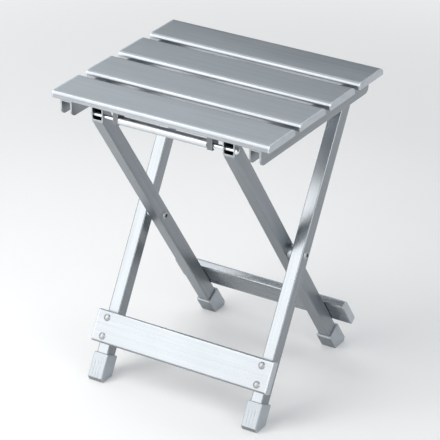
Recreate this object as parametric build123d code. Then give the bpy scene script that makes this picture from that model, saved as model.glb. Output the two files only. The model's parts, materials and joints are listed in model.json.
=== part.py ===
from build123d import *
from math import asin, atan2, cos, degrees, hypot, radians, sin, tan
import os

# Folding slatted stool with crossed legs, in millimetres.
# +X runs across the seat to the right, +Y points to the rear and +Z is up.
# The origin lies on the floor, straight below the axis where the legs cross.

# Seat slats
seat_height = 396.0
slat_count = 4
slat_length = 300.0
slat_width = 58.0
slat_gap = 11.5
slat_thickness = 9.0
slat_wall = 1.4
slat_edge_radius = 5.0
slat_base_radius = 1.0
slat_cap_thickness = 2.0

# Rails that carry the slats, set in from the slats' ends
slat_overhang = 11.8
rail_width = 16.0
rail_height = 20.0
rail_wall = 2.0
rail_end_radius = 7.5
rail_front_setback = 1.5
rail_rear_setback = 14.5

# Legs
leg_width = 16.0
leg_depth = 19.0
leg_wall = 1.5
leg_corner_radius = 1.6
outer_leg_overrun = 6.0
inner_leg_top_gap = 2.5

# Pivots: the legs cross a little behind the seat's middle, and the seat turns near its rear edge
pivot_height = 190.0
pivot_offset = 5.25
seat_pivot_setback = 23.3
seat_pivot_edge = 6.0
pivot_pin = 8.0
pivot_hole = 5.0
pivot_head = 10.5
pivot_head_height = 2.4
spacer_diameter = 17.0
spacer_thickness = 5.4
washer_diameter = 14.0
washer_thickness = 1.5

# Angles still open between the parts when the stool is folded
fold_stop = 0.5
lift_stop = 1.5

# Feet
foot_wall = 2.4
foot_length = 32.5
foot_corner_radius = 1.4
foot_edge_radius = 1.5
leg_end_height = 12.0
toe_height = 6.4
toe_setback = 2.6
groove_count = 3
groove_spacing = 4.2
groove_width = 1.2
groove_depth = 0.35
groove_inset = 9.0

# Cross bars between the legs, each above its pair of feet and longer than the stool's width over its legs
front_bar_overhang = 7.2
rear_bar_overhang = 5.5
bar_height = 41.0
bar_thickness = 11.0
bar_wall = 1.4
bar_corner_radius = 2.5
bar_cap_thickness = 2.0
front_bar_gap = 12.3
rear_bar_gap = 14.2
bar_rivet_edge = 8.5
bar_rivet_pin = 5.0
bar_rivet_head = 9.6
bar_rivet_head_height = 2.2

# Front rod and the hooks that catch it
rod_diameter = 5.0
rod_setback = 13.3
rod_offset = 1.5
rod_edge = 2.25
rod_end = 1.8
rod_cap_diameter = 9.0
rod_cap_height = 3.2
sleeve_diameter = 10.8
hook_leg_gap = 14.4
hook_width = 7.0
hook_front = 4.5
hook_rear = 9.5
hook_drop = 6.0
hook_corner_radius = 1.5
flange_width = 15.5
flange_front = 7.0
flange_thickness = 3.0

# Blind rivets under the seat
seat_rivet_pin = 4.8
seat_rivet_head = 8.0
seat_rivet_head_height = 1.4
seat_rivet_spacing = 12.0

# How far a rivet's formed tail spreads past its pin and stands out
tail_spread = 2.2
tail_height = 1.6

# How deep an end cap's plug reaches into its profile, and the rounding of the cap's outer face
plug_depth = 7.0
cap_edge_radius = 0.7

# Clearances
fit_gap = 0.05
plug_gap = 0.15
running_gap = 0.05
side_play = 0.2
hook_gap = 0.4
web_clearance = 1.0
cut_margin = 1.0

# Heights
seat_underside = seat_height - slat_thickness
hinge_drop = rail_height - seat_pivot_edge
hinge_height = seat_underside - hinge_drop
hinge_rise = hinge_height - pivot_height

# Places across the stool, from the slats' ends inwards
rail_x = slat_length / 2 - slat_overhang - rail_width / 2
rail_inner_x = rail_x - rail_width / 2
outer_leg_x = rail_inner_x - side_play - washer_thickness - leg_width / 2
inner_leg_x = outer_leg_x - leg_width - spacer_thickness - side_play
hook_x = inner_leg_x - leg_width / 2 - hook_leg_gap - hook_width / 2
flange_x = hook_x - hook_width / 2 - flange_width / 2
legs_half_width = outer_leg_x + leg_width / 2
front_bar_half = legs_half_width + front_bar_overhang
rear_bar_half = legs_half_width + rear_bar_overhang

# Places from front to rear
slat_pitch = slat_width + slat_gap
seat_depth = (slat_count - 1) * slat_pitch + slat_width
seat_front = -seat_depth / 2 - pivot_offset
seat_rear = seat_front + seat_depth
slat_centres = [seat_front + slat_width / 2 + index * slat_pitch for index in range(slat_count)]
rail_front = seat_front + rail_front_setback
rail_rear = seat_rear - rail_rear_setback
seat_pivot_y = seat_rear - seat_pivot_setback
rod_y = seat_front + rod_setback
inner_leg_front = rod_y - rod_diameter / 2 - fit_gap - rod_edge

# The outer legs lean to the seat's pivot, the inner legs to just behind the rod
outer_tilt = degrees(atan2(seat_pivot_y, hinge_rise))
inner_tilt = degrees(atan2(-rod_y, hinge_rise) - asin(rod_offset / hypot(rod_y, hinge_rise)))

# The legs fold until they are nearly in line, and the seat lifts until it nearly carries on from them
fold_travel = outer_tilt + inner_tilt - fold_stop
lift_travel = 90 + outer_tilt - lift_stop

# Rivet tails inside a slat stand clear of its webs
seat_tail = seat_rivet_pin + tail_spread
slat_web_spacing = seat_rivet_spacing + seat_tail + slat_wall + 2 * web_clearance
hook_rivet_y = slat_centres[0] - (slat_web_spacing + slat_wall + seat_tail) / 2 - web_clearance

foot_half_depth = leg_depth / 2 + foot_wall
foot_half_width = leg_width / 2 + foot_wall
bar_rivet_spacing = bar_height - 2 * bar_rivet_edge


def foot_reach(tilt):
    """Distance from below the cross pivot to where a leg's axis meets the floor."""
    return pivot_height * tan(radians(tilt))


def toe_reach(tilt):
    """Furthest a foot stands out along the floor from below the cross pivot."""
    angle = radians(tilt)
    return foot_reach(tilt) + foot_half_depth / cos(angle) - toe_height * tan(angle)


def floor_drop(tilt):
    """Length of a leg's axis from the cross pivot down to the floor."""
    return pivot_height / cos(radians(tilt))


def leg_drop(tilt):
    """Length of leg tube below the cross pivot."""
    return floor_drop(tilt) - leg_end_height


def bar_drop(tilt, gap):
    """Distance down the leg from the cross pivot to the middle of a bar that clears its feet by the gap."""
    return floor_drop(tilt) - foot_length - gap - bar_height / 2


front_bar_drop = bar_drop(outer_tilt, front_bar_gap)
rear_bar_drop = bar_drop(inner_tilt, rear_bar_gap)

hook_slot = rod_diameter / 2 + hook_gap

# Direction in which the rod leaves the hooks as the seat lifts and the legs close
lift_ratio = lift_travel / fold_travel
release_back = hinge_rise
release_down = (seat_pivot_y - rod_y) * lift_ratio + rod_y
release_angle = degrees(atan2(release_back, release_down))


def leg_plane(tilt, lean, x=0.0):
    """Plane at the cross pivot: local Z runs up the leg, local Y from its front face to its rear face."""
    angle = radians(tilt)
    return Plane(origin=(x, 0, pivot_height), x_dir=(1, 0, 0), z_dir=(0, lean * sin(angle), cos(angle)))


outer_plane = leg_plane(outer_tilt, 1)
inner_plane = leg_plane(inner_tilt, -1)


def x_prism(profile, x_low, x_high):
    """Extrude a profile drawn in Y and Z between two X positions."""
    return extrude(Plane.YZ.offset(x_low) * profile, amount=x_high - x_low)


def x_rod(diameter, x_low, x_high, y, z):
    return x_prism(Pos(y, z) * Circle(diameter / 2), x_low, x_high)


def dome(diameter, height):
    """Shallow spherical cap on the XY plane."""
    edge = diameter / 2
    sphere = (edge**2 + height**2) / (2 * height)
    half_turn = asin(edge / sphere) / 2
    middle = (sphere * sin(half_turn), height - sphere + sphere * cos(half_turn))
    arc = ThreePointArc((edge, 0), middle, (0, height))
    profile = make_face([arc, Line((0, height), (0, 0)), Line((0, 0), (edge, 0))])
    return revolve(Plane.XZ * profile, Axis.Z)


def rivet(pin, grip, head, head_height):
    """Rivet along +Z: the head's seat is at 0 and the formed tail's seat is at the end of the grip."""
    shank = Pos(0, 0, grip / 2) * Cylinder(pin / 2, grip)
    tail = Pos(0, 0, grip) * dome(pin + tail_spread, tail_height)
    return shank + Rot(180, 0, 0) * dome(head, head_height) + tail


def drill(pin, grip, gap):
    """Hole for a rivet laid along +Z, a little longer than its grip at both ends."""
    length = grip + 2 * cut_margin
    return Pos(0, 0, grip / 2) * Cylinder(pin / 2 + gap, length)


def cap_plate(outline, inside, outside):
    """Plate across the end of a profile, with a rounded edge round its outer face."""
    plate = x_prism(outline, inside, outside)
    return fillet(plate.faces().sort_by(Axis.X)[-1].edges(), cap_edge_radius)


# Slats and their caps


def slat_outline():
    profile = Rectangle(slat_width, slat_thickness)
    profile = fillet(profile.vertices().group_by(Axis.Y)[-1], slat_edge_radius)
    return fillet(profile.vertices().group_by(Axis.Y)[0], slat_base_radius)


def slat_chambers(shrink):
    """Three hollow chambers of a slat, each side drawn in by the given gap."""
    tall = slat_thickness - 2 * slat_wall - 2 * shrink
    middle = slat_web_spacing - slat_wall
    outer = (slat_width - 2 * slat_wall - middle - 2 * slat_wall) / 2
    outer_y = (middle + outer) / 2 + slat_wall
    corner = slat_edge_radius - slat_wall
    chamber = Rectangle(outer - 2 * shrink, tall)
    top_corner = chamber.vertices().group_by(Axis.X)[-1].sort_by(Axis.Y)[-1]
    chamber = Pos(outer_y, 0) * fillet(top_corner, corner)
    return Rectangle(middle - 2 * shrink, tall) + chamber + mirror(chamber, about=Plane.YZ)


def slat_place(index):
    return Pos(0, slat_centres[index], seat_height - slat_thickness / 2)


def make_slat(index):
    half = slat_length / 2 - slat_cap_thickness
    slat = slat_place(index) * x_prism(slat_outline() - slat_chambers(0), -half, half)
    slat -= [seat_rivet_place(side, index, step) * seat_rivet_hole() for side in (-1, 1) for step in (-1, 1)]
    if index == 0:
        slat -= [hook_rivet_place(side) * hook_rivet_hole() for side in (-1, 1)]
    return slat


def make_slat_cap(index, side):
    inside = slat_length / 2 - slat_cap_thickness
    plugs = x_prism(slat_chambers(plug_gap), inside - plug_depth, inside)
    cap = cap_plate(slat_outline(), inside, slat_length / 2) + plugs
    if side < 0:
        cap = mirror(cap, about=Plane.YZ)
    return slat_place(index) * cap


# Rails and the rivets that hold the slats down


def seat_rivet_grip():
    return rail_wall + slat_wall


def seat_rivet_place(side, index, step):
    y = slat_centres[index] + step * seat_rivet_spacing / 2
    return Pos(side * rail_x, y, seat_underside - rail_wall)


def seat_rivet_hole():
    return drill(seat_rivet_pin, seat_rivet_grip(), fit_gap)


def make_seat_rivets():
    one = rivet(seat_rivet_pin, seat_rivet_grip(), seat_rivet_head, seat_rivet_head_height)
    spots = [(side, index, step) for side in (-1, 1) for index in range(slat_count) for step in (-1, 1)]
    return Compound([seat_rivet_place(*spot) * one for spot in spots])


def make_rail(side):
    length = rail_rear - rail_front
    profile = Rectangle(length, rail_height)
    profile = fillet(profile.vertices().group_by(Axis.Y)[0], rail_end_radius)
    middle_y = (rail_front + rail_rear) / 2
    profile = Pos(middle_y, seat_underside - rail_height / 2) * profile
    rail = x_prism(profile, -rail_width / 2, rail_width / 2)
    channel = Box(rail_width - 2 * rail_wall, length, rail_height)
    rail -= Pos(0, middle_y, seat_underside - rail_wall - rail_height / 2) * channel
    rail = Pos(side * rail_x, 0, 0) * rail
    inner_face = side * rail_inner_x
    flange = sorted((inner_face - side * cut_margin, inner_face + side * (rail_wall + cut_margin)))
    rail -= x_rod(pivot_pin + 2 * running_gap, *flange, seat_pivot_y, hinge_height)
    rail -= [seat_rivet_place(side, index, step) * seat_rivet_hole()
             for index in range(slat_count) for step in (-1, 1)]
    return rail


# Hooks under the front slat


def hook_rivet_grip():
    return flange_thickness + slat_wall


def hook_rivet_place(side):
    return Pos(side * flange_x, hook_rivet_y, seat_underside - flange_thickness)


def hook_rivet_hole():
    return drill(seat_rivet_pin, hook_rivet_grip(), fit_gap)


def make_hook_rivets():
    one = rivet(seat_rivet_pin, hook_rivet_grip(), seat_rivet_head, seat_rivet_head_height)
    return Compound([hook_rivet_place(side) * one for side in (-1, 1)])


def make_hook(side):
    """Block on a flange under the slat, with a slot that opens down and back for the rod."""
    depth = hook_front + hook_rear
    height = hinge_drop + hook_drop
    block = Rectangle(depth, height)
    block = fillet(block.vertices().group_by(Axis.Y)[0], hook_corner_radius)
    block = Pos((hook_rear - hook_front) / 2, (hinge_drop - hook_drop) / 2) * block
    slot_length = depth + height
    slot = Pos(0, -slot_length / 2) * Rectangle(2 * hook_slot, slot_length) + Circle(hook_slot)
    block -= Rot(0, 0, release_angle) * slot
    block = x_prism(block, hook_x - hook_width / 2, hook_x + hook_width / 2)
    flange = Box(flange_width, flange_front + hook_rear, flange_thickness)
    hook = block + Pos(flange_x, (hook_rear - flange_front) / 2, hinge_drop - flange_thickness / 2) * flange
    if side < 0:
        hook = mirror(hook, about=Plane.YZ)
    return Pos(0, rod_y, hinge_height) * hook - hook_rivet_place(side) * hook_rivet_hole()


# Leg tubes


def leg_bar(top, bottom, section):
    """Length of leg section along local Z, from below the cross pivot to above it."""
    return Pos(0, 0, -bottom) * extrude(section, amount=top + bottom)


def leg_tube(top, bottom):
    outside = RectangleRounded(leg_width, leg_depth, leg_corner_radius)
    bore = RectangleRounded(leg_width - 2 * leg_wall, leg_depth - 2 * leg_wall, leg_corner_radius)
    return leg_bar(top, bottom, outside - bore)


def pivot_bore(x, gap):
    half = leg_width / 2 + cut_margin
    return x_rod(pivot_pin + 2 * gap, x - half, x + half, 0, pivot_height)


def make_outer_leg(side):
    x = side * outer_leg_x
    top = hinge_rise / cos(radians(outer_tilt)) + outer_leg_overrun
    leg = leg_plane(outer_tilt, 1, x).location * leg_tube(top, leg_drop(outer_tilt))
    leg -= pivot_bore(x, fit_gap)
    half = leg_width / 2 + cut_margin
    leg -= x_rod(pivot_pin + 2 * fit_gap, x - half, x + half, seat_pivot_y, hinge_height)
    return leg - bar_holes(outer_plane, -1, front_bar_drop, [x])


def make_inner_leg(side):
    """Inner leg, trimmed level under the seat and upright in front of the rod."""
    x = side * inner_leg_x
    top = seat_height / cos(radians(inner_tilt))
    leg = leg_plane(inner_tilt, -1, x).location * leg_tube(top, leg_drop(inner_tilt))
    trim_depth = toe_reach(inner_tilt) - inner_leg_front
    trim_height = seat_underside - inner_leg_top_gap
    trim_middle = Pos(x, inner_leg_front + trim_depth / 2, trim_height / 2)
    leg &= trim_middle * Box(2 * foot_half_width, trim_depth, trim_height)
    leg -= pivot_bore(x, running_gap)
    half = leg_width / 2 + cut_margin
    leg -= x_rod(rod_diameter + 2 * fit_gap, x - half, x + half, rod_y, hinge_height)
    return leg - bar_holes(inner_plane, 1, rear_bar_drop, [x])


# Feet


def make_foot(tilt, toe, x):
    """Boot over a leg's end with a level sole; its toe points forward (-1) or back (1)."""
    angle = radians(tilt)
    reach = foot_reach(tilt)
    across = foot_half_depth / cos(angle)
    collar = Vector(reach - foot_length * sin(angle), foot_length * cos(angle))
    collar_half = Vector(cos(angle), sin(angle)) * foot_half_depth
    toe_out = toe_reach(tilt)
    corners = [collar + collar_half, collar - collar_half, Vector(reach - across, 0)]
    corners += [Vector(toe_out - toe_setback, 0), Vector(toe_out, toe_height)]
    outline = make_face(Polyline([(toe * corner.X, corner.Y) for corner in corners], close=True))
    boot = x_prism(outline, x - foot_half_width, x + foot_half_width)
    plane = leg_plane(tilt, -toe, x)
    envelope = RectangleRounded(2 * foot_half_width, 2 * foot_half_depth, foot_corner_radius)
    length = floor_drop(tilt)
    boot &= plane.location * leg_bar(0, length + foot_length, envelope)
    boot = fillet(boot.faces().filter_by(plane).edges(), foot_edge_radius)
    groove_length = foot_length + foot_half_depth - groove_inset
    groove = Box(groove_width, 2 * groove_depth, groove_length)
    groove_row = GridLocations(groove_spacing, 0, groove_count, 1)
    groove_middle = Pos(0, toe * foot_half_depth, foot_length - groove_inset - groove_length / 2 - length)
    boot -= [plane.location * groove_middle * spot * groove for spot in groove_row]
    socket = RectangleRounded(leg_width + 2 * fit_gap, leg_depth + 2 * fit_gap, leg_corner_radius)
    return boot - plane.location * leg_bar(0, leg_drop(tilt), socket)


# Cross bars


def bar_outline():
    return RectangleRounded(bar_thickness, bar_height, bar_corner_radius)


def bar_chambers(shrink):
    """Two hollow chambers of a bar, one above the other."""
    tall = (bar_height - 3 * bar_wall) / 2
    wide = bar_thickness - 2 * bar_wall
    chambers = [Pos(0, step * (tall + bar_wall) / 2) * Rectangle(wide - 2 * shrink, tall - 2 * shrink)
                for step in (-1, 1)]
    return chambers[0] + chambers[1]


def bar_place(plane, face, drop):
    """Middle of a bar on the front (-1) or rear (1) faces of a pair of legs."""
    return plane.location * Pos(0, face * (leg_depth + bar_thickness) / 2, -drop)


def bar_rivet_grip():
    return bar_thickness + leg_wall


def bar_rivet_places(plane, face, drop, leg_xs):
    seat = face * (leg_depth / 2 + bar_thickness)
    heights = [-drop + step * bar_rivet_spacing / 2 for step in (-1, 1)]
    return [plane.location * Pos(x, seat, z) * Rot(90 * face, 0, 0) for x in leg_xs for z in heights]


def bar_holes(plane, face, drop, leg_xs):
    hole = drill(bar_rivet_pin, bar_rivet_grip(), fit_gap)
    return [place * hole for place in bar_rivet_places(plane, face, drop, leg_xs)]


def make_bar(plane, face, drop, leg_x, half):
    inside = half - bar_cap_thickness
    bar = bar_place(plane, face, drop) * x_prism(bar_outline() - bar_chambers(0), -inside, inside)
    return bar - bar_holes(plane, face, drop, [-leg_x, leg_x])


def make_bar_cap(plane, face, drop, half, side):
    inside = half - bar_cap_thickness
    plugs = x_prism(bar_chambers(plug_gap), inside - plug_depth, inside)
    cap = cap_plate(bar_outline(), inside, half) + plugs
    if side < 0:
        cap = mirror(cap, about=Plane.YZ)
    return bar_place(plane, face, drop) * cap


def make_bar_rivets(plane, face, drop, leg_x):
    one = rivet(bar_rivet_pin, bar_rivet_grip(), bar_rivet_head, bar_rivet_head_height)
    return Compound([place * one for place in bar_rivet_places(plane, face, drop, [-leg_x, leg_x])])


# Pivots, spacers and washers


def pivot_rivet(side, outside, inside, y, z):
    """Tubular rivet along X between two X distances, with a rolled flange on both ends."""
    grip = outside - inside
    flange = dome(pivot_head, pivot_head_height)
    one = Pos(0, 0, grip / 2) * Cylinder(pivot_pin / 2, grip)
    one += Rot(180, 0, 0) * flange
    one += Pos(0, 0, grip) * flange
    one -= Pos(0, 0, grip / 2) * Cylinder(pivot_hole / 2, grip + 2 * pivot_head_height)
    return Pos(side * outside, y, z) * Rot(0, -90 * side, 0) * one


def make_cross_pivot(side):
    outside = legs_half_width
    inside = inner_leg_x - leg_width / 2 - side_play
    return pivot_rivet(side, outside, inside, 0, pivot_height)


def make_seat_pivot(side):
    outside = rail_inner_x + rail_wall + side_play
    inside = outer_leg_x - leg_width / 2
    return pivot_rivet(side, outside, inside, seat_pivot_y, hinge_height)


def ring(side, diameter, near, far, y, z):
    low, high = sorted((side * near, side * far))
    bore = pivot_pin + 2 * fit_gap
    return x_rod(diameter, low, high, y, z) - x_rod(bore, low, high, y, z)


def make_spacer(side):
    far = outer_leg_x - leg_width / 2
    return ring(side, spacer_diameter, far - spacer_thickness, far, 0, pivot_height)


def make_washer(side):
    near = legs_half_width
    return ring(side, washer_diameter, near, near + washer_thickness, seat_pivot_y, hinge_height)


# Front rod


def make_rod():
    half = inner_leg_x + leg_width / 2 + rod_end
    return x_rod(rod_diameter, -half, half, rod_y, hinge_height)


def make_sleeve():
    half = hook_x - hook_width / 2 - hook_gap
    bore = rod_diameter + 2 * fit_gap
    tube = Circle(sleeve_diameter / 2) - Circle(bore / 2)
    return x_prism(Pos(rod_y, hinge_height) * tube, -half, half)


def make_rod_caps():
    """Domed push-on caps over the rod's two ends."""
    socket = Pos(0, 0, rod_end / 2) * Cylinder(rod_diameter / 2 + fit_gap, rod_end)
    cap = dome(rod_cap_diameter, rod_cap_height) - socket
    seat = inner_leg_x + leg_width / 2
    return Compound([Pos(side * seat, rod_y, hinge_height) * Rot(0, 90 * side, 0) * cap for side in (-1, 1)])


# All pieces by node name

pieces = {}
sides = {"left": -1, "right": 1}

for number in range(slat_count):
    pieces[f"slat_{number + 1}"] = make_slat(number)
    for word, side in sides.items():
        pieces[f"slat_{number + 1}_{word}_cap"] = make_slat_cap(number, side)

for word, side in sides.items():
    pieces[f"{word}_rail"] = make_rail(side)
    pieces[f"{word}_hook"] = make_hook(side)
    pieces[f"{word}_seat_pivot"] = make_seat_pivot(side)
    pieces[f"{word}_seat_washer"] = make_washer(side)
    pieces[f"{word}_outer_leg"] = make_outer_leg(side)
    pieces[f"{word}_inner_leg"] = make_inner_leg(side)
    pieces[f"{word}_cross_pivot"] = make_cross_pivot(side)
    pieces[f"{word}_leg_spacer"] = make_spacer(side)
    pieces[f"{word}_front_foot"] = make_foot(outer_tilt, -1, side * outer_leg_x)
    pieces[f"{word}_rear_foot"] = make_foot(inner_tilt, 1, side * inner_leg_x)
    pieces[f"front_bar_{word}_cap"] = make_bar_cap(outer_plane, -1, front_bar_drop, front_bar_half, side)
    pieces[f"rear_bar_{word}_cap"] = make_bar_cap(inner_plane, 1, rear_bar_drop, rear_bar_half, side)

pieces["seat_rivets"] = make_seat_rivets()
pieces["hook_rivets"] = make_hook_rivets()
pieces["front_bar"] = make_bar(outer_plane, -1, front_bar_drop, outer_leg_x, front_bar_half)
pieces["front_bar_rivets"] = make_bar_rivets(outer_plane, -1, front_bar_drop, outer_leg_x)
pieces["rear_bar"] = make_bar(inner_plane, 1, rear_bar_drop, inner_leg_x, rear_bar_half)
pieces["rear_bar_rivets"] = make_bar_rivets(inner_plane, 1, rear_bar_drop, inner_leg_x)
pieces["front_rod"] = make_rod()
pieces["rod_sleeve"] = make_sleeve()
pieces["rod_caps"] = make_rod_caps()

os.makedirs("parts", exist_ok=True)
for name, shape in pieces.items():
    export_step(shape, f"parts/{name}.step")
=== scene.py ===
import json
import math

import bpy
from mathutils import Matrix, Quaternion, Vector


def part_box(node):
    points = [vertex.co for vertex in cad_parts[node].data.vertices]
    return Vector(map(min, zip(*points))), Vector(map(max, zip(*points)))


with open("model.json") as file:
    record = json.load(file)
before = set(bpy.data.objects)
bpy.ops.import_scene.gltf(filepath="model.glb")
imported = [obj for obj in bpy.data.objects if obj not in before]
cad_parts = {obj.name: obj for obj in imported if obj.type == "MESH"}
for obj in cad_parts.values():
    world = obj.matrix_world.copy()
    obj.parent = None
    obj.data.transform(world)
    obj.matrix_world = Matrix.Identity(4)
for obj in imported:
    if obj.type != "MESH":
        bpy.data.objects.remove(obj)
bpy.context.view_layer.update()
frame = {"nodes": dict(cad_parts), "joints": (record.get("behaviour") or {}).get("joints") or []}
nodes = frame["nodes"]
print("frame loaded with", len(nodes), "nodes")


# small helpers for node trees

def addNode(tree, kind, values=None, **settings):
    node = tree.nodes.new("ShaderNode" + kind)
    for name, value in settings.items():
        setattr(node, name, value)
    for name, value in (values or {}).items():
        node.inputs[name].default_value = value
    return node


def wire(tree, start, end):
    tree.links.new(start, end)


def math2(tree, operation, first, second):
    node = addNode(tree, "Math", operation=operation)
    for socket, value in zip(node.inputs, (first, second)):
        if isinstance(value, (int, float)):
            socket.default_value = value
        else:
            wire(tree, value, socket)
    return node.outputs[0]


def remap(tree, value, low, high, toLow=0.0, toHigh=1.0):
    node = addNode(tree, "MapRange", {"From Min": low, "From Max": high, "To Min": toLow, "To Max": toHigh})
    wire(tree, value, node.inputs["Value"])
    return node.outputs["Result"]


# a mask of 0 to 1 that stops at the given share
def upTo(tree, mask, share):
    return remap(tree, mask, 0.0, 1.0, 0.0, share)


# noise in the current object's space, with its scale taken from a group input
def scaledNoise(tree, coords, scale, **values):
    noise = addNode(tree, "TexNoise", values)
    wire(tree, coords.outputs["Object"], noise.inputs["Vector"])
    wire(tree, scale, noise.inputs["Scale"])
    return noise.outputs["Fac"]


def newGroup(name, inputs, outputs):
    tree = bpy.data.node_groups.new(name, "ShaderNodeTree")
    for label, value in inputs.items():
        kind = "NodeSocketVector" if isinstance(value, tuple) else "NodeSocketFloat"
        socket = tree.interface.new_socket(label, in_out="INPUT", socket_type=kind)
        socket.default_value = value
    for label in outputs:
        tree.interface.new_socket(label, in_out="OUTPUT", socket_type="NodeSocketFloat")
    return tree, tree.nodes.new("NodeGroupInput"), tree.nodes.new("NodeGroupOutput")


def placeGroup(tree, group, values):
    node = tree.nodes.new("ShaderNodeGroup")
    node.node_tree = group
    for name, value in values.items():
        node.inputs[name].default_value = value
    return node


noiseBand = (0.3, 0.7)  # noise lies mostly in here, so this is spread over 0 to 1

# drawn or brushed metal: long streaks along the piece, finer lines between them, slow patches
grainShape = {
    "streakShare": 0.22,  # streaks for each fine line
    "streakDetail": 3.0,
    "lineDetail": 2.0,
    "layerRoughness": 0.55,
    "patchDetail": 2.0,
    "patchRoughness": 0.5,
}


def makeGrainGroup():
    shape = grainShape
    group, start, end = newGroup(
        "metalGrain",
        {"Lay": (0.0, 0.0, 0.0), "Along": 6.0, "Across": 900.0, "Patch": 14.0},
        ("Streaks", "Lines", "Patches"),
    )
    coords = addNode(group, "TexCoord")
    turn = addNode(group, "VectorRotate", rotation_type="EULER_XYZ")
    wire(group, coords.outputs["Object"], turn.inputs["Vector"])
    wire(group, start.outputs["Lay"], turn.inputs["Rotation"])
    layers = (("Streaks", shape["streakShare"], shape["streakDetail"]), ("Lines", 1.0, shape["lineDetail"]))
    for label, share, detail in layers:
        across = math2(group, "MULTIPLY", start.outputs["Across"], share)
        size = addNode(group, "CombineXYZ")
        wire(group, start.outputs["Along"], size.inputs["X"])
        wire(group, across, size.inputs["Y"])
        wire(group, across, size.inputs["Z"])
        stretch = addNode(group, "VectorMath", operation="MULTIPLY")
        wire(group, turn.outputs["Vector"], stretch.inputs[0])
        wire(group, size.outputs["Vector"], stretch.inputs[1])
        noise = addNode(group, "TexNoise", {"Scale": 1.0, "Detail": detail, "Roughness": shape["layerRoughness"]})
        wire(group, stretch.outputs["Vector"], noise.inputs["Vector"])
        wire(group, remap(group, noise.outputs["Fac"], *noiseBand), end.inputs[label])
    patches = scaledNoise(group, coords, start.outputs["Patch"], Detail=shape["patchDetail"],
                          Roughness=shape["patchRoughness"])
    wire(group, remap(group, patches, *noiseBand), end.inputs["Patches"])
    return group


# light rub along outside edges, broken up by noise, which also paints a highlight along the edges
edgeShape = {
    "samples": 6,
    "cosines": (0.995, 0.86),  # between the rounded and the real normal: no rub or painted highlight, full rub and painted highlight
    "breakDetail": 3.0,
    "breakBand": (0.35, 0.6),
    "leastRubAndHighlight": 0.35,
}


def makeEdgeRubAndHighlightGroup():
    shape = edgeShape
    group, start, end = newGroup("edgeRubAndHighlight", {"Width": 0.0012, "Break": 160.0}, ("Edge",))
    bevel = addNode(group, "Bevel", samples=shape["samples"])
    wire(group, start.outputs["Width"], bevel.inputs["Radius"])
    surface = addNode(group, "NewGeometry")
    agree = addNode(group, "VectorMath", operation="DOT_PRODUCT")
    wire(group, bevel.outputs["Normal"], agree.inputs[0])
    wire(group, surface.outputs["Normal"], agree.inputs[1])
    bent = remap(group, agree.outputs["Value"], *shape["cosines"])
    coords = addNode(group, "TexCoord")
    noise = scaledNoise(group, coords, start.outputs["Break"], Detail=shape["breakDetail"])
    broken = remap(group, noise, *shape["breakBand"], shape["leastRubAndHighlight"], 1.0)
    wire(group, math2(group, "MULTIPLY", bent, broken), end.inputs["Edge"])
    return group


# moulded plastic: fine spark-eroded texture and slow mottling
mouldShape = {"grainDetail": 2.0, "mottleDetail": 3.0, "roughness": 0.6}


def makeMouldGroup():
    shape = mouldShape
    group, start, end = newGroup("mouldTexture", {"Grain": 1500.0, "Mottle": 45.0}, ("Grain", "Mottle"))
    coords = addNode(group, "TexCoord")
    for label, detail in (("Grain", shape["grainDetail"]), ("Mottle", shape["mottleDetail"])):
        noise = scaledNoise(group, coords, start.outputs[label], Detail=detail, Roughness=shape["roughness"])
        wire(group, remap(group, noise, *noiseBand), end.inputs[label])
    return group


# mask of the faces turned to the floor, where shade is painted into the plastic as a darker colour
underShadeShape = {
    "slopes": (-0.15, -0.40),  # Z of the face's normal: no painted shade, full painted shade
    "breakDetail": 3.0,
    "breakBand": (0.3, 0.6),
    "leastUnderShade": 0.75,
}


def makeUnderShadeGroup():
    shape = underShadeShape
    group, start, end = newGroup("paintedUnderShade", {"Break": 120.0}, ("Under",))
    coords = addNode(group, "TexCoord")
    parts = addNode(group, "SeparateXYZ")
    wire(group, coords.outputs["Normal"], parts.inputs["Vector"])
    down = remap(group, parts.outputs["Z"], *shape["slopes"])
    noise = scaledNoise(group, coords, start.outputs["Break"], Detail=shape["breakDetail"])
    broken = remap(group, noise, *shape["breakBand"], shape["leastUnderShade"], 1.0)
    wire(group, math2(group, "MULTIPLY", down, broken), end.inputs["Under"])
    return group


grainGroup = makeGrainGroup()
edgeRubAndHighlightGroup = makeEdgeRubAndHighlightGroup()
mouldGroup = makeMouldGroup()
underShadeGroup = makeUnderShadeGroup()
print("node groups made")


def newMaterial(name):
    material = bpy.data.materials.new(name)
    material.use_nodes = True
    tree = material.node_tree
    return material, tree, tree.nodes["Principled BSDF"]


def mixColour(tree, factor, first, second):
    node = addNode(tree, "Mix", data_type="RGBA")
    wire(tree, factor, node.inputs["Factor"])
    for label, value in (("A", first), ("B", second)):
        socket = next(s for s in node.inputs if s.name == label and s.type == "RGBA")
        if isinstance(value, tuple):
            socket.default_value = (*value, 1.0)
        else:
            wire(tree, value, socket)
    return next(s for s in node.outputs if s.type == "RGBA")


def bumpNormal(tree, shader, height, strength, distance):
    bump = addNode(tree, "Bump", {"Strength": strength, "Distance": distance})
    wire(tree, height, bump.inputs["Height"])
    wire(tree, bump.outputs["Normal"], shader.inputs["Normal"])


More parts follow.
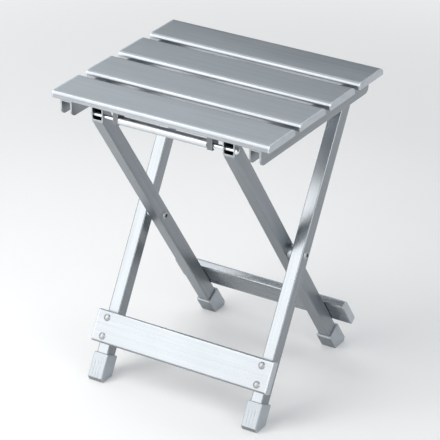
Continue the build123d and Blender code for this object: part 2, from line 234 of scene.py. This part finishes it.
def metalMaterial(name, look):
    material, tree, shader = newMaterial(name)
    grain = placeGroup(tree, grainGroup, {
        "Lay": look["lay"], "Along": look["along"], "Across": look["across"], "Patch": look["patch"],
    })
    edge = placeGroup(tree, edgeRubAndHighlightGroup, {"Width": look["edgeWidth"]})
    streaky = mixColour(tree, grain.outputs["Streaks"], look["dark"], look["light"])
    lines = upTo(tree, grain.outputs["Lines"], look["lineShare"])
    lined = mixColour(tree, lines, streaky, look["light"])
    # edges are painted lighter: partly rub, partly a painted highlight
    edges = upTo(tree, edge.outputs["Edge"], look["rubAndHighlightShare"])
    wire(tree, mixColour(tree, edges, lined, look["rubbedAndHighlit"]), shader.inputs["Base Color"])
    spread = look["roughSpread"]
    uneven = math2(tree, "ADD", grain.outputs["Streaks"], grain.outputs["Patches"])
    rough = remap(tree, uneven, 0, 2, look["rough"] - spread, look["rough"] + spread)
    wire(tree, rough, shader.inputs["Roughness"])
    shader.inputs["Metallic"].default_value = look["metallic"]
    bumpNormal(tree, shader, grain.outputs["Lines"], look["bump"], look["bumpDepth"])
    return material


def plasticMaterial(name, look):
    material, tree, shader = newMaterial(name)
    mould = placeGroup(tree, mouldGroup, {"Grain": look["grain"], "Mottle": look["mottle"]})
    edge = placeGroup(tree, edgeRubAndHighlightGroup, {"Width": look["edgeWidth"]})
    under = placeGroup(tree, underShadeGroup, {"Break": look["underShadeBreak"]})
    mottled = mixColour(tree, mould.outputs["Mottle"], look["dark"], look["light"])
    # faces turned to the floor are painted darker here, standing in for their shade
    unders = upTo(tree, under.outputs["Under"], look["underShadeShare"])
    shadedBelow = mixColour(tree, unders, mottled, look["underShade"])
    # edges are painted lighter: partly rub, partly a painted highlight
    edges = upTo(tree, edge.outputs["Edge"], look["rubAndHighlightShare"])
    wire(tree, mixColour(tree, edges, shadedBelow, look["rubbedAndHighlit"]), shader.inputs["Base Color"])
    spread = look["roughSpread"]
    rough = remap(tree, mould.outputs["Mottle"], 0, 1, look["rough"] - spread, look["rough"] + spread)
    wire(tree, rough, shader.inputs["Roughness"])
    shader.inputs["Metallic"].default_value = look["metallic"]
    bumpNormal(tree, shader, mould.outputs["Grain"], look["bump"], look["bumpDepth"])
    return material


def dress(names, material):
    for name in names:
        mesh = nodes[name].data
        mesh.materials.clear()
        mesh.materials.append(material)


def named(*words):
    return [name for name in nodes if any(word in name for word in words)]


# which way the metal was drawn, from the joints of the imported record
jointAt = {joint["name"]: Vector(joint["pos_m"]) for joint in frame["joints"]}
rodLow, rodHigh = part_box("front_rod")
rodMiddle = (rodLow + rodHigh) / 2
crossing = jointAt["leg_fold"]


def legLay(top):
    lean = math.atan2(top.y - crossing.y, top.z - crossing.z)
    return (lean, math.pi / 2, 0.0)


acrossLay = (0.0, 0.0, 0.0)
depthLay = (0.0, 0.0, -math.pi / 2)
outerLay = legLay(jointAt["seat_lift"])
innerLay = legLay(rodMiddle)

metalLook = {
    "lay": acrossLay,
    "along": 5.0,  # streak repeats per metre along the piece
    "across": 1100.0,  # lines per metre across it
    "patch": 14.0,
    "dark": (0.275, 0.297, 0.318),
    "light": (0.328, 0.354, 0.378),
    # lighter edge colour, partly rub and partly a painted highlight
    "rubbedAndHighlit": (0.66, 0.69, 0.72),
    "lineShare": 0.35,
    "rubAndHighlightShare": 0.75,
    "edgeWidth": 0.0008,  # metres
    "rough": 0.33,
    "roughSpread": 0.04,
    "metallic": 1.0,
    "bump": 0.10,
    "bumpDepth": 0.0002,  # metres
}

slatLook = dict(metalLook, across=900.0, rough=0.32, bump=0.2, roughSpread=0.05)
dress(["slat_1", "slat_2", "slat_3", "slat_4"], metalMaterial("slatAluminium", slatLook))

barLook = dict(metalLook, rough=0.27)
dress(["front_bar", "rear_bar"], metalMaterial("barAluminium", barLook))

railLook = dict(metalLook, lay=depthLay)
dress(["left_rail", "right_rail"], metalMaterial("railAluminium", railLook))

outerLegLook = dict(metalLook, lay=outerLay, rough=0.26)
dress(["left_outer_leg", "right_outer_leg"], metalMaterial("outerLegAluminium", outerLegLook))

innerLegLook = dict(metalLook, lay=innerLay, rough=0.40)
dress(["left_inner_leg", "right_inner_leg"], metalMaterial("innerLegAluminium", innerLegLook))

sleeveLook = dict(metalLook, dark=(0.50, 0.525, 0.55), light=(0.56, 0.585, 0.61), rough=0.36)
dress(["rod_sleeve"], metalMaterial("sleeveAluminium", sleeveLook))

rodLook = dict(metalLook, dark=(0.58, 0.60, 0.62), light=(0.68, 0.70, 0.72), rough=0.28)
dress(["front_rod"], metalMaterial("rodSteel", rodLook))

rivetLook = dict(
    metalLook, along=600.0, across=600.0,
    dark=(0.42, 0.435, 0.45), light=(0.50, 0.515, 0.53), rough=0.48,
)
dress(named("rivets", "pivot"), metalMaterial("rivetSteel", rivetLook))

rodCapLook = dict(rivetLook, dark=(0.80, 0.81, 0.82), light=(0.88, 0.89, 0.90), rough=0.34)
dress(["rod_caps"], metalMaterial("rodCapSteel", rodCapLook))

hookLook = dict(
    metalLook, along=300.0, across=300.0,
    dark=(0.15, 0.16, 0.17), light=(0.20, 0.21, 0.22), rough=0.5,
)
dress(["left_hook", "right_hook"], metalMaterial("hookSteel", hookLook))

spacerLook = dict(metalLook, lay=depthLay, dark=(0.36, 0.39, 0.42), light=(0.46, 0.49, 0.52), rough=0.30)
dress(named("spacer"), metalMaterial("spacerSteel", spacerLook))
print("metal pieces dressed")

# the pieces below each bring their own dark and light
plasticLook = {
    "grain": 1500.0,
    "mottle": 45.0,
    # lighter edge colour, partly rub and partly a painted highlight
    "rubbedAndHighlit": (0.78, 0.81, 0.84),
    "rubAndHighlightShare": 0.7,
    "edgeWidth": 0.0009,  # metres
    # colour of the painted shade on faces turned to the floor
    "underShade": (0.17, 0.185, 0.20),
    "underShadeShare": 0.75,
    "underShadeBreak": 120.0,
    "rough": 0.46,
    "roughSpread": 0.06,
    "metallic": 0.0,
    "bump": 0.12,
    "bumpDepth": 0.0002,  # metres
}

# feet and caps are partly metallic for their sheen
footLook = dict(
    plasticLook, dark=(0.41, 0.445, 0.48), light=(0.46, 0.50, 0.535), rough=0.44, metallic=0.6,
)
dress(named("foot"), plasticMaterial("footPlastic", footLook))

capLook = dict(
    plasticLook, dark=(0.45, 0.485, 0.515), light=(0.51, 0.545, 0.575), rough=0.40, metallic=0.5,
    rubAndHighlightShare=0.5,
)
dress([name for name in nodes if name.endswith("_cap")], plasticMaterial("capPlastic", capLook))

nylonLook = dict(
    plasticLook, dark=(0.012, 0.012, 0.014), light=(0.02, 0.02, 0.023), rubbedAndHighlit=(0.05, 0.05, 0.055),
)
dress(named("washer"), plasticMaterial("washerNylon", nylonLook))
print("plastic pieces dressed")


# pale studio floor that washes out to white away from the stool, so that the shadow stays near it
floorLook = {
    "half": 15.0,
    "colour": (0.91, 0.91, 0.912),
    "shade": (0.895, 0.896, 0.898),
    "grain": 900.0,
    "mottle": 2.0,
    "rough": 0.9,
    "specular": 0.1,
    "washFrom": 0.75,  # metres from the middle
    "washTo": 1.5,
    "nearWash": 0.1,
    "farWash": 0.85,
}


def makeFloor():
    look = floorLook
    half = look["half"]
    corners = [(-half, -half, 0), (half, -half, 0), (half, half, 0), (-half, half, 0)]
    mesh = bpy.data.meshes.new("floor")
    mesh.from_pydata(corners, [], [(0, 1, 2, 3)])
    floor = bpy.data.objects.new("floor", mesh)
    bpy.context.scene.collection.objects.link(floor)
    material, tree, shader = newMaterial("floorPaper")
    mould = placeGroup(tree, mouldGroup, {"Grain": look["grain"], "Mottle": look["mottle"]})
    paper = mixColour(tree, mould.outputs["Mottle"], look["shade"], look["colour"])
    wire(tree, paper, shader.inputs["Base Color"])
    shader.inputs["Roughness"].default_value = look["rough"]
    shader.inputs["Specular IOR Level"].default_value = look["specular"]
    # the white shows only where the floor is seen or mirrored, and lights nothing
    lightPath = addNode(tree, "LightPath")
    looked = math2(tree, "MAXIMUM", lightPath.outputs["Is Camera Ray"], lightPath.outputs["Is Glossy Ray"])
    looked = math2(tree, "MAXIMUM", looked, lightPath.outputs["Is Transmission Ray"])
    white = addNode(tree, "Emission", {"Strength": 1.0})
    blend = addNode(tree, "MixShader")
    coords = addNode(tree, "TexCoord")
    reach = addNode(tree, "VectorMath", operation="LENGTH")
    wire(tree, coords.outputs["Object"], reach.inputs[0])
    wash = remap(tree, reach.outputs["Value"], look["washFrom"], look["washTo"], look["nearWash"], look["farWash"])
    wire(tree, math2(tree, "MULTIPLY", looked, wash), blend.inputs[0])
    wire(tree, shader.outputs["BSDF"], blend.inputs[1])
    wire(tree, white.outputs["Emission"], blend.inputs[2])
    wire(tree, blend.outputs["Shader"], tree.nodes["Material Output"].inputs["Surface"])
    mesh.materials.append(material)


makeFloor()


# soft boxes: the key from the front left, a bright one high above it for the slats, one behind on the left,
# a wide one overhead, one on the right, a low strip under the front slat, and fills for the other sides
softBoxes = {
    "keyBox": {
        "place": (-0.66, -1.06, 0.93), "aim": (0.0, -0.02, 0.20), "size": (1.15, 1.35),
        "roll": 0.0, "glow": 2.88, "tint": (1.0, 0.975, 0.945),
    },
    "upperBox": {
        "place": (-0.70, -0.47, 1.58), "aim": (-0.02, -0.10, 0.39), "size": (0.8, 0.6),
        "roll": 0.0, "glow": 2.9, "tint": (1.0, 0.98, 0.955),
    },
    "rearBox": {
        "place": (-0.60, 0.62, 1.16), "aim": (-0.08, -0.21, 0.66), "size": (1.2, 0.8),
        "roll": -20.0, "glow": 1.3, "tint": (0.97, 0.99, 1.0),
    },
    "topBox": {
        "place": (-0.42, 0.05, 1.75), "aim": (-0.12, 0.04, 0.10), "size": (1.5, 1.5),
        "roll": 0.0, "glow": 0.7, "tint": (1.0, 0.985, 0.965),
    },
    "rightBox": {
        "place": (1.20, -0.40, 0.70), "aim": (0.0, 0.0, 0.20), "size": (0.8, 0.8),
        "roll": 0.0, "glow": 2.2, "tint": (1.0, 1.0, 1.0),
    },
    "frontFill": {
        "place": (1.05, -1.25, 0.85), "aim": (0.0, 0.0, 0.30), "size": (1.4, 1.0),
        "roll": 0.0, "glow": 1.2, "tint": (1.0, 1.0, 1.0),
    },
    "rearFill": {
        "place": (1.25, 1.15, 0.95), "aim": (0.0, 0.0, 0.30), "size": (1.4, 1.0),
        "roll": 0.0, "glow": 0.75, "tint": (1.0, 1.0, 1.0),
    },
    "leftFill": {
        "place": (-1.70, -0.05, 0.55), "aim": (0.0, 0.0, 0.30), "size": (1.2, 0.8),
        "roll": 0.0, "glow": 0.9, "tint": (1.0, 1.0, 1.0),
    },
    "lowBox": {
        "place": (-0.38, -0.63, 0.10), "aim": (0.0, -0.13, 0.39), "size": (0.5, 0.18),
        "roll": 0.0, "glow": 1.15, "tint": (1.0, 0.985, 0.965),
    },
}


def makeSoftBox(name, box):
    wide, tall = box["size"]
    lamp = bpy.data.lights.new(name, "AREA")
    lamp.shape = "RECTANGLE"
    lamp.size = wide
    lamp.size_y = tall
    lamp.energy = math.pi * wide * tall * box["glow"]  # watts that give the face its glow
    lamp.color = box["tint"]
    holder = bpy.data.objects.new(name, lamp)
    holder.location = box["place"]
    aim = Vector(box["aim"]) - Vector(box["place"])
    roll = Quaternion((0.0, 0.0, 1.0), math.radians(box["roll"]))
    holder.rotation_euler = (aim.to_track_quat("-Z", "Y") @ roll).to_euler()
    bpy.context.scene.collection.objects.link(holder)


for boxName, box in softBoxes.items():
    makeSoftBox(boxName, box)

worldLook = {"colour": (0.225, 0.245, 0.265), "strength": 1.0}
world = bpy.data.worlds.new("studio")
world.use_nodes = True
background = world.node_tree.nodes["Background"]
background.inputs["Color"].default_value = (*worldLook["colour"], 1.0)
background.inputs["Strength"].default_value = worldLook["strength"]
bpy.context.scene.world = world
print("floor and soft boxes set")


# camera at the photo's angle; the focal length is in pixels of the photo's frame
cameraLook = {
    "azimuth": 32.02,
    "elevation": 26.67,
    "distance": 2.970,
    "target": (-0.0019, 0.0, 0.2051),
    "focalPixels": 2418.0,
    "framePixels": 440.0,
    "sensor": 36.0,
}


def makeCamera():
    look = cameraLook
    data = bpy.data.cameras.new("camera")
    data.sensor_width = look["sensor"]
    data.lens = look["focalPixels"] / look["framePixels"] * look["sensor"]
    camera = bpy.data.objects.new("camera", data)
    across = math.radians(look["azimuth"])
    above = math.radians(look["elevation"])
    back = Vector((math.sin(across) * math.cos(above), -math.cos(across) * math.cos(above), math.sin(above)))
    camera.location = Vector(look["target"]) + back * look["distance"]
    camera.rotation_euler = (-back).to_track_quat("-Z", "Y").to_euler()
    bpy.context.scene.collection.objects.link(camera)
    bpy.context.scene.camera = camera


makeCamera()
bpy.context.scene.view_settings.view_transform = "Standard"
print("camera set")
